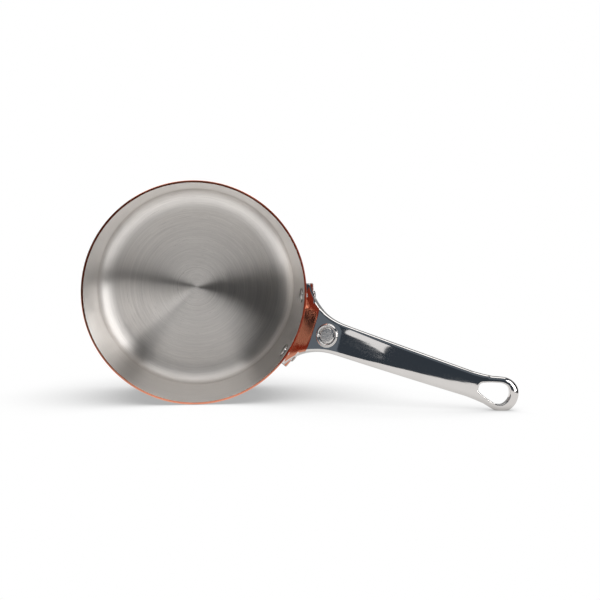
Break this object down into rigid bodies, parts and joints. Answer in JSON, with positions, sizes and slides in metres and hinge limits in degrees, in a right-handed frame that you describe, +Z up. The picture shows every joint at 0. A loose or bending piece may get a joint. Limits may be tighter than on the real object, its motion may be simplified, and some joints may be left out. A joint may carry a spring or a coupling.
{
  "type": "copper saucepan",
  "caption": "Straight-sided copper saucepan lined with brushed stainless steel, with a riveted cast steel handle that ends in a hanging loop.",
  "frame": {"origin": "centre of the flat underside of the base", "axes": "+Z up along the pan's axis to the rim, -X out along the handle"},
  "size_m": [0.3536, 0.18, 0.1565],
  "materials": {
    "copper": "polished copper",
    "lining": "brushed in circles round the pan's axis",
    "handle": "polished cast stainless steel",
    "rivets": "polished stainless steel"
  },
  "bodies": {
    "root": {"copper_body": "copper", "steel_lining": "lining", "handle": "handle", "rivet_1": "rivets", "rivet_2": "rivets"}
  },
  "joints": []
}
